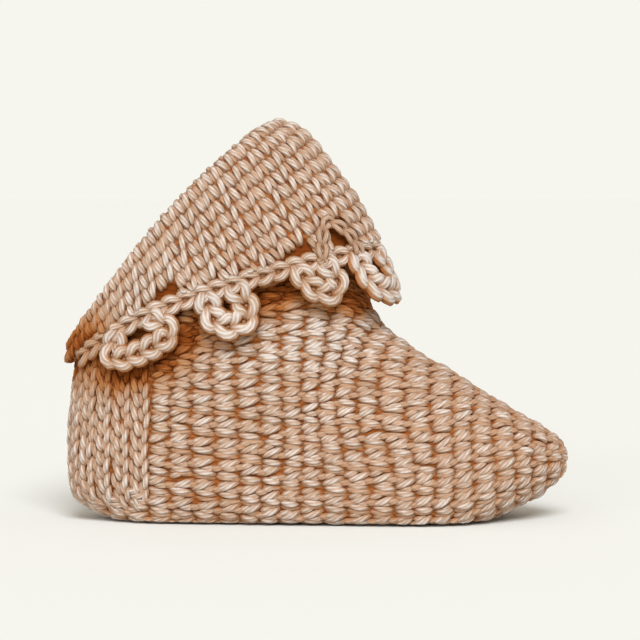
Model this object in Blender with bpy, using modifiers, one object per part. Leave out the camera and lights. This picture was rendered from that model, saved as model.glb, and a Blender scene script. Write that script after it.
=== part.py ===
"""Pixie slipper, crocheted in thick yarn and standing empty on its sole.

Three pieces, as a maker puts them together: the foot, worked whole from the pointed toe to
the heel so that sole and upper are one wall; the cuff, worked on round the opening and
turned down, deep in front and dying away at the heel; and a chain edging with hanging loops.
Sizes are in millimetres. The toe points along +X, up is +Z, and the origin is on the floor
in the middle of the slipper's length.
"""

import bpy
import bmesh
import numpy as np

MM = 0.001

# Driving sizes
FOOT_LENGTH = 230.0
BALL_WIDTH = 78.0
COLLAR_HEIGHT = 176.0
WALL = 3.5
FLOOR_ROUNDING = 6.0
MIDDLE = FOOT_LENGTH / 2 - 0.25

# Cuff: a soft roll over the rim, then a flap that hangs clear of the foot
CUFF_WALL = 3.5
RIM_GAP = 0.8
ROLL_RISE = 0.6
ROLL_GAP_BACK = 0.6
ROLL_GAP_FRONT = 3.0
CUFF_BACK_DEPTH = 4.5
CUFF_FRONT_DEPTH = 63.0
CUFF_DEPTH_POWER = 1.15
SIDE_FLARE = 2.0
FRONT_FLARE = 5.5

# Edging: a cord along the cuff's edge, with loops that hang from it
EDGE_GAP = 0.7
HEADER_RADIUS = 2.4
LOOP_RADIUS = 3.3
HEADER_START = 18.0
LOOP_FULLNESS = 0.8
CURL_UNDER = 4.5
ROOT_DROP = 0.6

# Mesh density
RINGS_PER_SECTION = 2
FOOT_COLUMNS = 38
ROLL_STEPS = 4
FLAP_STEPS = 6
HEADER_POINTS = 54
LOOP_POINTS = 11
TUBE_RESOLUTION = 2

# The foot's sections, from the slanted rim down round the heel and out to the toe. Each is an egg
# that stands on its sole end and closes at its crown end; seen from the side it is a line from one
# to the other, which bows back by the bow. Lengths and bows are per cent of FOOT_LENGTH, heights of
# COLLAR_HEIGHT and widths of BALL_WIDTH. widest is where on that line the egg is widest, in per
# cent, and the two powers are how square its ends are.
SECTION_COLUMNS = (
    "sole_along", "sole_up", "crown_along", "crown_up", "bow", "width", "widest", "sole_power", "crown_power",
)
SECTIONS = (
    (1.8, 43.5, 41.5, 100.0, 3.0, 69.0, 50.0, 2.3, 2.2),
    (0.7, 31.0, 45.2, 95.3, 2.4, 71.0, 50.0, 2.3, 2.2),
    (0.3, 20.6, 48.6, 89.8, 1.8, 74.0, 50.0, 2.5, 2.2),
    (0.4, 11.6, 51.5, 84.3, 1.2, 76.5, 50.0, 2.7, 2.2),
    (1.2, 6.2, 53.3, 80.6, 0.8, 78.0, 50.0, 2.9, 2.2),
    (3.8, 3.5, 55.1, 76.0, 0.4, 79.5, 50.0, 3.0, 2.2),
    (7.4, 0.6, 57.0, 70.0, 0.2, 81.0, 49.0, 3.1, 2.2),
    (12.6, -3.9, 58.6, 63.0, 0.0, 83.0, 48.0, 3.1, 2.1),
    (19.6, -5.0, 60.1, 56.2, 0.0, 85.0, 46.0, 3.1, 2.1),
    (27.0, -5.3, 62.6, 50.8, 0.0, 88.0, 44.0, 3.0, 2.0),
    (36.5, -5.3, 65.2, 47.6, 0.0, 91.0, 42.0, 2.9, 2.0),
    (46.1, -5.3, 68.0, 45.0, 0.0, 94.5, 40.0, 2.8, 1.9),
    (56.5, -5.3, 71.7, 41.6, 0.0, 98.0, 38.0, 2.8, 1.9),
    (66.1, -5.3, 75.9, 38.8, 0.0, 100.0, 38.0, 2.8, 1.9),
    (74.8, -4.5, 80.7, 34.4, 0.0, 96.5, 39.0, 2.7, 1.9),
    (81.7, -1.4, 85.4, 30.3, 0.0, 86.5, 41.0, 2.5, 1.9),
    (87.6, 2.8, 90.0, 26.6, 0.0, 70.5, 44.0, 2.3, 2.0),
    (92.6, 6.2, 94.1, 23.7, 0.0, 50.5, 46.0, 2.2, 2.0),
    (96.4, 9.5, 97.3, 20.9, 0.0, 31.0, 48.0, 2.1, 2.0),
    (99.0, 12.3, 99.3, 17.7, 0.0, 14.0, 50.0, 2.0, 2.0),
    (100.0, 14.7, 100.0, 14.7, 0.0, 0.0, 50.0, 2.0, 2.0),
)
COLUMN_SCALES = (
    FOOT_LENGTH, COLLAR_HEIGHT, FOOT_LENGTH, COLLAR_HEIGHT, FOOT_LENGTH, BALL_WIDTH / 2, 1.0, 100.0, 100.0,
)
SECTION_SIZES = np.array(SECTIONS) * np.array(COLUMN_SCALES) / 100.0
LAST_SECTION = len(SECTIONS) - 1

# The loops of one side, from the heel to the front. place is along the cuff's edge, 0 at the middle
# of the heel and 1 at the middle of the front. Then come the span between a loop's ends, how much it
# bulges past them, how far it hangs (or is turned up against the cuff, if negative), how far its foot
# sways towards the front, and how far its axis ends off the wall (or, turned up, its side off the cuff)
LOOP_COLUMNS = ("place", "span", "bulge", "drop", "sway", "stand_off")
LOOPS = (
    (0.285, 16.0, 1.8, 14.5, 4.0, 6.0),
    (0.51, 13.0, 0.6, 17.5, 0.0, 6.5),
    (0.735, 12.5, 0.6, 14.5, 3.0, 7.0),
    (0.80, 14.0, 1.0, -17.0, 5.0, 1.2),
    (0.90, 15.0, 1.0, 19.0, 5.0, 13.0),
)

YARN_COLOUR = (0.48, 0.30, 0.195, 1.0)
YARN_ROUGHNESS = 0.9


def section_at(u):
    """The section columns at u, from 0 at the rim to LAST_SECTION at the toe: a smooth cubic
    through the table, whose slope at each row is half the step between its two neighbours."""
    ends = np.vstack([
        2 * SECTION_SIZES[0] - SECTION_SIZES[1], SECTION_SIZES, 2 * SECTION_SIZES[-1] - SECTION_SIZES[-2],
    ])
    row = np.clip(np.floor(u).astype(int), 0, LAST_SECTION - 1)
    t = (u - row)[..., None]
    before, start, end, after = (ends[row + k] for k in range(4))
    cubic = (
        2 * start
        + (end - before) * t
        + (2 * before - 5 * start + 4 * end - after) * t**2
        + (3 * start - before - 3 * end + after) * t**3
    ) / 2
    return dict(zip(SECTION_COLUMNS, np.moveaxis(cubic, -1, 0)))


def settle(z):
    """Presses what hangs below the floor flat on it, with a rounded turn up into the sides."""
    rounded = (z + FLOOR_ROUNDING) ** 2 / (4 * FLOOR_ROUNDING)
    return np.where(z > FLOOR_ROUNDING, z, np.where(z < -FLOOR_ROUNDING, 0.0, rounded))


def foot_point(u, angle):
    """A point of the foot's outer face: section u, at an angle that is 0 at the sole end or heel,
    a right angle at the widest place and pi at the crown."""
    u, angle = np.broadcast_arrays(np.asarray(u, float), np.asarray(angle, float))
    s = section_at(u)
    cosine, sine = np.cos(angle), np.sin(angle)
    to_sole = cosine > 0
    power = np.where(to_sole, s["sole_power"], s["crown_power"])
    reach = np.where(to_sole, s["widest"], 1 - s["widest"])
    share = s["widest"] - np.sign(cosine) * reach * np.abs(cosine) ** (2 / power)
    along = s["sole_along"] + share * (s["crown_along"] - s["sole_along"])
    up = s["sole_up"] + share * (s["crown_up"] - s["sole_up"])
    length = np.hypot(s["crown_along"] - s["sole_along"], s["crown_up"] - s["sole_up"]) + 1e-9
    bowed = 4 * share * (1 - share) * s["bow"] / length
    along = along - bowed * (s["crown_up"] - s["sole_up"])
    up = up + bowed * (s["crown_along"] - s["sole_along"])
    out = s["width"] * np.sign(sine) * np.abs(sine) ** (2 / power)
    return np.stack([along - MIDDLE, out, settle(up)], axis=-1)


def unit(vectors):
    return vectors / np.linalg.norm(vectors, axis=-1, keepdims=True)


def foot_frame(u, angle):
    """The foot's point there, its outward normal, and the way up along the wall to the rim."""
    step = 0.02
    low = np.maximum(np.asarray(u, float) - step, 0.0)
    up_wall = foot_point(low, angle) - foot_point(low + 2 * step, angle)
    round_wall = foot_point(u, angle + step) - foot_point(u, angle - step)
    normal = unit(np.cross(up_wall, round_wall))
    return foot_point(u, angle), normal, unit(up_wall)


def below_rim(angle, depth, lift):
    """Points at these depths below the rim, measured down the wall, and lifted off its outer face."""
    angle, depth, lift = np.broadcast_arrays(*(np.asarray(a, float) for a in (angle, depth, lift)))
    u_grid = np.linspace(0.0, LAST_SECTION - 4, 240)
    found = np.empty(angle.shape)
    for place in np.ndindex(angle.shape):
        line = foot_point(u_grid, np.full_like(u_grid, angle[place]))
        steps = np.linalg.norm(np.diff(line, axis=0), axis=1)
        found[place] = np.interp(depth[place], np.concatenate([[0.0], np.cumsum(steps)]), u_grid)
    point, normal, _ = foot_frame(found, angle)
    return point + lift[..., None] * normal


def above_rim(angle, rise, lift):
    """Points that carry the wall on past the rim by rise, lifted off its outer face."""
    angle, rise, lift = np.broadcast_arrays(angle, rise, lift)
    point, normal, up_wall = foot_frame(np.zeros_like(angle), angle)
    return point + rise[..., None] * up_wall + lift[..., None] * normal


def to_front(angle):
    """0 at the middle of the heel, 1 at the middle of the front, along the rim's line."""
    point = foot_point(np.zeros_like(angle), angle)
    back = foot_point(np.zeros(1), np.zeros(1))
    front = foot_point(np.zeros(1), np.full(1, np.pi))
    return (point[..., 0] - back[..., 0]) / (front[..., 0] - back[..., 0])


def cuff_depth(angle):
    """How far down the wall the flap reaches: shallow at the heel, deep in front."""
    return CUFF_BACK_DEPTH + (CUFF_FRONT_DEPTH - CUFF_BACK_DEPTH) * to_front(angle) ** CUFF_DEPTH_POWER


def roll_gap(angle):
    """The room between the foot and the flap just under the roll."""
    return ROLL_GAP_BACK + (ROLL_GAP_FRONT - ROLL_GAP_BACK) * to_front(angle)


def cuff_lift(angle, share):
    """How far the flap's middle face stands off the foot, at this share of its depth."""
    flare = SIDE_FLARE + (FRONT_FLARE - SIDE_FLARE) * to_front(angle) ** 4
    return roll_gap(angle) + CUFF_WALL / 2 + flare * np.sqrt(share) * to_front(angle) ** 0.5


def add_object(name, mesh, collection, material):
    thing = bpy.data.objects.new(name, mesh)
    collection.objects.link(thing)
    mesh.materials.append(material)
    mesh.shade_smooth()
    return thing


def ring_mesh(name, rings, tip=None):
    """A mesh of closed rings joined in order, each ring a row of points, with an optional tip."""
    rows, columns = rings.shape[:2]
    work = bmesh.new()
    verts = [[work.verts.new(point * MM) for point in ring] for ring in rings]
    for i in range(rows - 1):
        for j in range(columns):
            k = (j + 1) % columns
            work.faces.new((verts[i][j], verts[i][k], verts[i + 1][k], verts[i + 1][j]))
    if tip is not None:
        point = work.verts.new(tip * MM)
        for j in range(columns):
            work.faces.new((verts[-1][j], verts[-1][(j + 1) % columns], point))
    mesh = bpy.data.meshes.new(name)
    work.to_mesh(mesh)
    work.free()
    return mesh


def give_wall(thing, thickness, offset):
    wall = thing.modifiers.new("wall", "SOLIDIFY")
    wall.thickness = thickness * MM
    wall.offset = offset
    wall.use_even_offset = True


def round_angles():
    return np.arange(FOOT_COLUMNS) * 2 * np.pi / FOOT_COLUMNS


def make_foot(collection, material):
    """The foot: a bag lofted through the sections, closed at the toe and open at the rim."""
    u = np.linspace(0.0, LAST_SECTION, LAST_SECTION * RINGS_PER_SECTION + 1)[:-1]
    rings = foot_point(u[:, None], round_angles()[None, :])
    tip = foot_point(np.full(1, float(LAST_SECTION)), np.zeros(1))[0]
    foot = add_object("upper_and_sole", ring_mesh("upper_and_sole", rings, tip), collection, material)
    give_wall(foot, WALL, -1.0)


def make_cuff(collection, material):
    """The cuff's middle face: up from the rim, over a half-round roll, and down the flap."""
    angles = round_angles()
    inside = -WALL / 2
    outside = roll_gap(angles) + CUFF_WALL / 2
    middle, radius = (inside + outside) / 2, (outside - inside) / 2
    roll_base = RIM_GAP + ROLL_RISE
    rings = [above_rim(angles, RIM_GAP, inside)]
    for turn in np.linspace(np.pi, 0.0, ROLL_STEPS + 1):
        rings.append(above_rim(angles, roll_base + radius * np.sin(turn), middle + radius * np.cos(turn)))
    for share in np.linspace(0.0, 1.0, FLAP_STEPS + 1)[1:]:
        rings.append(below_rim(angles, share * cuff_depth(angles), cuff_lift(angles, share)))
    cuff = add_object("cuff", ring_mesh("cuff", np.array(rings)), collection, material)
    give_wall(cuff, CUFF_WALL, 0.0)


def edge_table():
    """Angles round the cuff's edge, from the heel and back to it, with the length run so far."""
    angles = np.linspace(0.0, 2 * np.pi, 4 * HEADER_POINTS + 1)
    line = below_rim(angles, cuff_depth(angles), cuff_lift(angles, 1.0))
    steps = np.linalg.norm(np.diff(line, axis=0), axis=1)
    return angles, np.concatenate([[0.0], np.cumsum(steps)])


def edging_point(angle, drop, lift):
    """A point of the edging: drop is how far it hangs below the header's own line."""
    header_depth = cuff_depth(angle) + EDGE_GAP + HEADER_RADIUS
    return below_rim(angle, header_depth + drop, lift)


def loop_path(table, loop, side):
    """A loop's axis: half an ellipse that bulges between its two ends in the header. One that is
    turned up first curls out under the cuff's edge, then lies against the cuff."""
    turn = np.linspace(0.0, np.pi, LOOP_POINTS)
    hang = np.sin(turn) ** LOOP_FULLNESS
    total = table[1][-1]
    along = loop["place"] * total / 2 + loop["sway"] * hang
    along = along - loop["span"] / 2 * np.cos(turn) * (1 + loop["bulge"] * np.sin(turn))
    if side == "left":
        along = total - along
    angle = np.interp(along, table[1], table[0])
    start_lift = cuff_lift(angle, 1.0)
    if loop["drop"] > 0:
        fall = ROOT_DROP + loop["drop"] * hang
        end_lift = loop["stand_off"]
    else:
        fall = ROOT_DROP + loop["drop"] * np.sin(turn) ** 2.2 + CURL_UNDER * np.abs(np.sin(2 * turn))
        share = np.clip(1 + fall / cuff_depth(angle), 0.0, 1.0)
        end_lift = cuff_lift(angle, share) + CUFF_WALL / 2 + LOOP_RADIUS + loop["stand_off"]
        hang = np.sin(turn) ** 0.4
    return edging_point(angle, fall, start_lift + (end_lift - start_lift) * hang)


def cord(name, points, radius, collection, material):
    """A round cord along these points, as a welded mesh."""
    curve = bpy.data.curves.new(name, "CURVE")
    curve.dimensions = "3D"
    curve.bevel_depth = radius * MM
    curve.bevel_resolution = TUBE_RESOLUTION
    curve.use_fill_caps = True
    line = curve.splines.new("POLY")
    line.points.add(len(points) - 1)
    line.points.foreach_set("co", np.c_[points * MM, np.ones(len(points))].ravel())
    guide = bpy.data.objects.new(name + "_line", curve)
    collection.objects.link(guide)
    graph = bpy.context.evaluated_depsgraph_get()
    mesh = bpy.data.meshes.new_from_object(guide.evaluated_get(graph))
    mesh.name = name
    bpy.data.objects.remove(guide)
    work = bmesh.new()
    work.from_mesh(mesh)
    bmesh.ops.remove_doubles(work, verts=work.verts, dist=0.01 * MM)
    bmesh.ops.recalc_face_normals(work, faces=work.faces)
    work.to_mesh(mesh)
    work.free()
    return add_object(name, mesh, collection, material)


def make_edging(collection, helpers, material):
    """The edging: a header cord along the cuff's edge, with the loops joined to it."""
    table = edge_table()
    total = table[1][-1]
    angles = np.interp(np.linspace(HEADER_START, total - HEADER_START, HEADER_POINTS), table[1], table[0])
    line = edging_point(angles, 0.0, cuff_lift(angles, 1.0))
    header = cord("loop_edging", line, HEADER_RADIUS, collection, material)
    for i, row in enumerate(LOOPS):
        for side in ("right", "left"):
            path = loop_path(table, dict(zip(LOOP_COLUMNS, row)), side)
            loop = cord(f"loop_{side}_{i + 1}", path, LOOP_RADIUS, helpers, material)
            loop.hide_render = True
            loop.display_type = "WIRE"
    join = header.modifiers.new("loops", "BOOLEAN")
    join.operation = "UNION"
    join.operand_type = "COLLECTION"
    join.collection = helpers
    join.solver = "EXACT"


def make_yarn():
    material = bpy.data.materials.new("tan_yarn")
    material.use_nodes = True
    shader = material.node_tree.nodes["Principled BSDF"]
    shader.inputs["Base Color"].default_value = YARN_COLOUR
    shader.inputs["Roughness"].default_value = YARN_ROUGHNESS
    shader.inputs["Metallic"].default_value = 0.0
    return material


def main():
    for thing in list(bpy.data.objects):
        bpy.data.objects.remove(thing)
    slipper = bpy.data.collections.new("pixie_slipper")
    helpers = bpy.data.collections.new("edging_loops")
    bpy.context.scene.collection.children.link(slipper)
    bpy.context.scene.collection.children.link(helpers)
    yarn = make_yarn()
    make_foot(slipper, yarn)
    make_cuff(slipper, yarn)
    make_edging(slipper, helpers, yarn)


main()
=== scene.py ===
"""Looks of the pixie slipper: crocheted wool, stitch by stitch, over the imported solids.

Every face of the slipper is laid out flat as a chart, whose rows and places are millimetres or
stitches on the real surface. Stitches are short strands of yarn placed on a chart, over a thin
wall that closes the gaps between them. Sizes are in millimetres. The toe points along +X, up is
+Z, and the origin is on the floor in the middle of the slipper's length.
"""

import bpy
import numpy as np
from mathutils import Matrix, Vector


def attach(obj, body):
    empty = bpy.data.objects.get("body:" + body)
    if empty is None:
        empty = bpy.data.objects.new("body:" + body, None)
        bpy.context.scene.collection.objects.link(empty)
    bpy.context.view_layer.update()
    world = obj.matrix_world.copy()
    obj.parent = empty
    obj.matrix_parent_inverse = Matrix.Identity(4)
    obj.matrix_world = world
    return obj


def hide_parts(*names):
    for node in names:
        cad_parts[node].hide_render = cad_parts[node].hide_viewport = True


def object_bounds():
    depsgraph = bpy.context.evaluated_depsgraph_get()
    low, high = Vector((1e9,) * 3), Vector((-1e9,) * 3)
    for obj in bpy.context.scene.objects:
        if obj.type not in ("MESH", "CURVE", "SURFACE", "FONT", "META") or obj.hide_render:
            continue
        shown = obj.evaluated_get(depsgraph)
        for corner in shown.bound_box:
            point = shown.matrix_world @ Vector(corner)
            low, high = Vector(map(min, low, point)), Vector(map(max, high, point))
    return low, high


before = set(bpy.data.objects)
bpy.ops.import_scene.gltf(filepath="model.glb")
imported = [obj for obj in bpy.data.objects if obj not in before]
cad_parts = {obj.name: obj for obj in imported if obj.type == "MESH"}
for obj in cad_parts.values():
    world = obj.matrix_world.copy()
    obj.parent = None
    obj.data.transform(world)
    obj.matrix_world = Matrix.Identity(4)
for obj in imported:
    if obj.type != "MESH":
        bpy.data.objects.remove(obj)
cad_low, cad_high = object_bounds()

MM = 0.001
random = np.random.default_rng(7)

# Driving sizes of the foot, as in the part's source
FOOT_LENGTH = 230.0
BALL_WIDTH = 78.0
COLLAR_HEIGHT = 176.0
WALL = 3.5
FLOOR_ROUNDING = 6.0
MIDDLE = FOOT_LENGTH / 2 - 0.25

# Cuff: a soft roll over the rim, then a flap that hangs clear of the foot
CUFF_WALL = 3.5
RIM_GAP = 0.8
ROLL_RISE = 0.6
ROLL_BASE = RIM_GAP + ROLL_RISE
ROLL_GAP_BACK = 0.6
ROLL_GAP_FRONT = 3.0
CUFF_BACK_DEPTH = 4.5
CUFF_FRONT_DEPTH = 63.0
CUFF_DEPTH_POWER = 1.15
SIDE_FLARE = 2.0
FRONT_FLARE = 5.5
SIDE_FLARE_POWER = 0.5
FRONT_FLARE_POWER = 4

# Edging: a chain along the cuff's edge, with loops of chain that hang from it
EDGE_GAP = 0.7
HEADER_RADIUS = 2.4
LOOP_RADIUS = 3.3
HEADER_START = 18.0
HEADER_POINTS = 400
LOOP_FULLNESS = 0.8
CURL_UNDER = 4.5
ROOT_DROP = 0.6
LOOP_POINTS = 61
TURNED_UP_POWER = 2.2
TURNED_UP_LIFT_POWER = 0.4

# The foot's sections, from the slanted rim down round the heel and out to the toe. Each is an egg
# that stands on its sole end and closes at its crown end; seen from the side it is a line from one
# to the other, which bows back by the bow. Lengths and bows are per cent of FOOT_LENGTH, heights of
# COLLAR_HEIGHT and widths of BALL_WIDTH. widest is where on that line the egg is widest, in per
# cent, and the two powers are how square its ends are.
SECTION_COLUMNS = (
    "sole_along", "sole_up", "crown_along", "crown_up", "bow", "width", "widest", "sole_power", "crown_power",
)
SECTIONS = (
    (1.8, 43.5, 41.5, 100.0, 3.0, 69.0, 50.0, 2.3, 2.2),
    (0.7, 31.0, 45.2, 95.3, 2.4, 71.0, 50.0, 2.3, 2.2),
    (0.3, 20.6, 48.6, 89.8, 1.8, 74.0, 50.0, 2.5, 2.2),
    (0.4, 11.6, 51.5, 84.3, 1.2, 76.5, 50.0, 2.7, 2.2),
    (1.2, 6.2, 53.3, 80.6, 0.8, 78.0, 50.0, 2.9, 2.2),
    (3.8, 3.5, 55.1, 76.0, 0.4, 79.5, 50.0, 3.0, 2.2),
    (7.4, 0.6, 57.0, 70.0, 0.2, 81.0, 49.0, 3.1, 2.2),
    (12.6, -3.9, 58.6, 63.0, 0.0, 83.0, 48.0, 3.1, 2.1),
    (19.6, -5.0, 60.1, 56.2, 0.0, 85.0, 46.0, 3.1, 2.1),
    (27.0, -5.3, 62.6, 50.8, 0.0, 88.0, 44.0, 3.0, 2.0),
    (36.5, -5.3, 65.2, 47.6, 0.0, 91.0, 42.0, 2.9, 2.0),
    (46.1, -5.3, 68.0, 45.0, 0.0, 94.5, 40.0, 2.8, 1.9),
    (56.5, -5.3, 71.7, 41.6, 0.0, 98.0, 38.0, 2.8, 1.9),
    (66.1, -5.3, 75.9, 38.8, 0.0, 100.0, 38.0, 2.8, 1.9),
    (74.8, -4.5, 80.7, 34.4, 0.0, 96.5, 39.0, 2.7, 1.9),
    (81.7, -1.4, 85.4, 30.3, 0.0, 86.5, 41.0, 2.5, 1.9),
    (87.6, 2.8, 90.0, 26.6, 0.0, 70.5, 44.0, 2.3, 2.0),
    (92.6, 6.2, 94.1, 23.7, 0.0, 50.5, 46.0, 2.2, 2.0),
    (96.4, 9.5, 97.3, 20.9, 0.0, 31.0, 48.0, 2.1, 2.0),
    (99.0, 12.3, 99.3, 17.7, 0.0, 14.0, 50.0, 2.0, 2.0),
    (100.0, 14.7, 100.0, 14.7, 0.0, 0.0, 50.0, 2.0, 2.0),
)
COLUMN_SCALES = (
    FOOT_LENGTH, COLLAR_HEIGHT, FOOT_LENGTH, COLLAR_HEIGHT, FOOT_LENGTH, BALL_WIDTH / 2, 1.0, 100.0, 100.0,
)
SECTION_SIZES = np.array(SECTIONS) * np.array(COLUMN_SCALES) / 100.0
LAST_SECTION = len(SECTIONS) - 1

# The loops of one side, from the heel to the front. place is along the cuff's edge, 0 at the middle
# of the heel and 1 at the middle of the front. Then come the span between a loop's ends, how much it
# bulges past them, how far it hangs (or is turned up against the cuff, if negative), how far its foot
# sways towards the front, and how far its axis ends off the wall (or, turned up, its side off the cuff)
LOOP_COLUMNS = ("place", "span", "bulge", "drop", "sway", "stand_off")
LOOPS = (
    (0.285, 16.0, 1.8, 14.5, 4.0, 6.0),
    (0.51, 13.0, 0.6, 17.5, 0.0, 6.5),
    (0.735, 12.5, 0.6, 14.5, 3.0, 7.0),
    (0.80, 14.0, 1.0, -17.0, 5.0, 1.2),
    (0.90, 15.0, 1.0, 19.0, 5.0, 13.0),
)

# The crochet's gauge: how long a row and how wide a stitch is, on the foot, the heel and the cuff, and
# how many rows and stitches are laid out. Those that nobody sees, or that lie past an edge, are left out
FOOT_ROW = 10.06
FOOT_STITCH = 9.6
FOOT_ROWS = 26
MOST_STITCHES = 30
HEEL_ROW = 6.8
HEEL_ROWS = 13
HEEL_STITCHES = 6
CUFF_ROW = 6.6
CUFF_ROWS = 15
CUFF_STITCHES = 38

# The foot's rows, from the toe. They are spaced along the foot's widest line until it is EVEN_FROM from
# the back, and by the distance to the back from there. Over the crown they are spaced up the ankle from
# EVEN_ROWS_UP_TO on, and they lean from LEAN_FROM of the way round to it. The first row is drawn in to
# the tip: what lies from TOE_BEFORE before it to TOE_ROW goes between TOE_FIRST and TOE_ROW. Stitches
# narrow with the girth up to row TAPER_TO, and rows waver by a share of a row
EVEN_FROM = 150.0
EVEN_ROWS_UP_TO = 165.0
LEAN_FROM = 0.5
TOE_FIRST = 0.16
TOE_ROW = 0.5
TOE_BEFORE = 0.6
TAPER_TO = 7.0
TAPER_FADE = 3.0
WAVER = 0.13
WAVER_FADE = 5.0
WAVER_LENGTH = 22.0
WAVER_STEP = 0.9

# The heel's own panel of upright stitches, from the back to HEEL_PANEL along. Its first row starts at
# HEEL_FIRST up, and it ends low at the back and higher at the sides, a little over the foot's rows
HEEL_PANEL = 38.0
HEEL_FIRST = 3.0
HEEL_BACK_END = 4.0
HEEL_SIDE_END = 12.0
HEEL_END_FROM = 4.0
HEEL_END_OVER = 16.0
PANEL_OVERLAP = 3.0

# How far the foot's and the heel's stitches go on up under the cuff. The cuff's own start on its inner
# leg, are counted round the flap at FLAP_MIDDLE over it, and stop HEM_CLEAR short of the hem
FOOT_UNDER_CUFF = 8.0
HEEL_UNDER_CUFF = 12.0
CUFF_START = -12.0
FLAP_MIDDLE = 30.0
HEM_CLEAR = 0.3

# Soft ridges and troughs of the foot: along, up, half size along and across, slope, height
FOOT_RELIEF = (
    (-116.0, 40.0, 60.0, 10.0, 90.0, 1.4),
    (92.0, 42.0, 26.0, 9.0, -33.0, 1.2),
    (100.0, 8.0, 24.0, 8.0, 25.0, 1.2),
    (117.0, 26.0, 5.0, 7.0, 0.0, -2.6),
    (-20.0, 44.0, 26.0, 11.0, 20.0, -1.6),
    (12.0, 72.0, 26.0, 8.0, 60.0, -1.4),
)

# How much fuller than the solid the cuff is. On its fold FOLD_FULL gives it from the heel (0) to the
# front (1), up to FOLD_TOP from the top of the roll, and it fades out over FOLD_FADE. Under the peak
# it is FRONT_FULL at FRONT_DOWN over the flap
FOLD_FULL = ((0.0, 0.8, 0.93, 1.0), (1.8, 1.8, 1.5, -1.0))
FOLD_TOP = 4.0
FOLD_FADE = 22.0
FRONT_FULL = 2.4
FRONT_FROM = 0.8
FRONT_DOWN = 14.0
FRONT_HALF = 12.0

# Where the cuff's crochet opens: along, up, half size along and across, slope. First the eye of the
# turned-up loop, then the slits over the edging, which are its chain spaces. An opening's edge is where
# its soft shape is EYE_EDGE high. Stitches less than EYE_KEEP inside it stay, and the wall behind it
# sinks by EYE_DEPTH over EYE_GROW times its size, and is painted darker by EYE_SHADE on the colour ramp
# as painted shade in the opening
EYES = (
    (8.5, 130.5, 6.5, 6.5, 0.0),
    (-70.0, 103.5, 7.0, 3.5, 25.0),
    (-43.0, 110.0, 8.0, 4.0, 22.0),
    (-14.0, 121.5, 9.0, 4.0, 28.0),
)
EYE_EDGE = 0.3
EYE_SOFT = 0.3
EYE_KEEP = 0.3
EYE_GROW = 1.6
EYE_DEPTH = 1.6
EYE_SHADE = 3.0

# A stitch's strands, in shares of a row (0 at the toe or top) and of a stitch from its middle: where each
# starts and ends, how much lower it lies, and how far painted shade lowers its colour on the ramp. Two lie
# on top, one along the row's own way and one that leans off it; the others fill in between and behind them.
ARM_COLUMNS = ("start_row", "start_place", "end_row", "end_place", "sink", "deep")
FOOT_ARMS = (
    (0.96, -0.22, 0.04, -0.30, 0.0, 0.1),
    (0.98, -0.06, 0.04, 0.40, 0.0, 0.1),
    (0.74, -0.10, 0.0, 0.04, 0.5, 0.0),
    (1.0, 0.18, 0.36, 0.46, 0.5, 0.0),
    (0.30, 0.0, -0.30, 0.10, 0.3, 1.0),
    (1.04, 0.56, -0.04, 0.52, 0.7, 0.6),
)
HEEL_ARMS = (
    (1.1, -0.14, -0.1, -0.32, 0.0, 0.0),
    (1.6, 0.14, 0.4, 0.32, 0.0, 0.0),
    (0.6, -0.1, -0.4, 0.06, 0.8, 0.0),
    (1.1, 0.4, 0.0, 0.52, 0.8, 0.0),
)
CUFF_ARMS = (
    (1.1, -0.16, -0.1, -0.34, 0.0, 0.0),
    (1.1, 0.14, -0.1, 0.36, 0.0, 0.0),
    (1.1, -0.1, -0.1, 0.08, 0.9, 0.0),
    (1.1, 0.42, -0.1, 0.5, 0.9, 0.0),
)

# Yarn: half a strand's thickness across and through, how far down its ends dive and how far its middle
# rises from them, how much of its thickness its ends keep, the power that swells it, and how far painted
# shade lowers its ends on the colour ramp
YARN_ACROSS = 1.6
YARN_THROUGH = 1.4
YARN_SUNK = -1.7
YARN_ARCH = 1.7
YARN_END = 0.66
YARN_SWELL = 0.7
END_SHADE = 0.5
STRAND_RINGS = 6
STRAND_SIDES = 6

# How unevenly strands are laid by hand: in shares of a row, in shares of a stitch, and in height
ROW_WOBBLE = 0.04
PLACE_WOBBLE = 0.05
HEIGHT_WOBBLE = 0.2

# The sole: strands are pressed flat on the floor. What would be lower than FLOOR_PRESS under it lies at
# FLOOR_CLEAR, and what is higher keeps PRESSED_SHARE of the difference. The wall stays WALL_CLEAR up
FLOOR_CLEAR = 0.1
FLOOR_PRESS = 2.2
PRESSED_SHARE = 0.4
WALL_CLEAR = 2.0

# Chains: the length of a link, how far a chain runs on past its ends, and how bulky the header's, a
# hanging loop's and the turned-up loop's are. A hanging loop's bulk is for a drop of LOOP_DROP and goes
# by the root of the drop. The turned-up loop is laid EYE_SINK nearer the cuff than the solid
CHAIN_LINK = 7.2
CHAIN_TAIL = 3.0
HEADER_BULK = 1.0
LOOP_BULK = 1.35
LOOP_DROP = 16.0
EYE_BULK = 0.65
EYE_SINK = 3.2

# A link's two strands, at a bulk of 1. They run from LINK_FROM to LINK_TO of the link, start LINK_PART
# off its middle, open by LINK_OPEN over the first LINK_OPEN_OVER of their run, and close by LINK_CLOSE
# from LINK_CLOSE_FROM on. Then come their half thicknesses, what their ends keep of them, how low their
# ends lie and how far their middles rise. Tones are heights on the colour ramp, of which LINK_SHADED of
# the painted shade of SHADES is taken. LINK_STEEP is how much steeper than its own height a strand's
# colour falls off round it, from a painted highlight on top to painted shade beneath, and each strand has
# LINK_CORDS cords
LINK_POINTS = 9
LINK_FROM = -0.25
LINK_TO = 1.2
LINK_PART = 0.5
LINK_OPEN = 2.4
LINK_OPEN_OVER = 0.6
LINK_CLOSE = 1.5
LINK_CLOSE_FROM = 0.7
LINK_ACROSS = 2.2
LINK_THROUGH = 1.8
LINK_END = 0.68
LINK_SWELL = 0.7
LINK_LOW = -1.3
LINK_RISE = 2.0
LINK_RISE_POWER = 0.8
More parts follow.
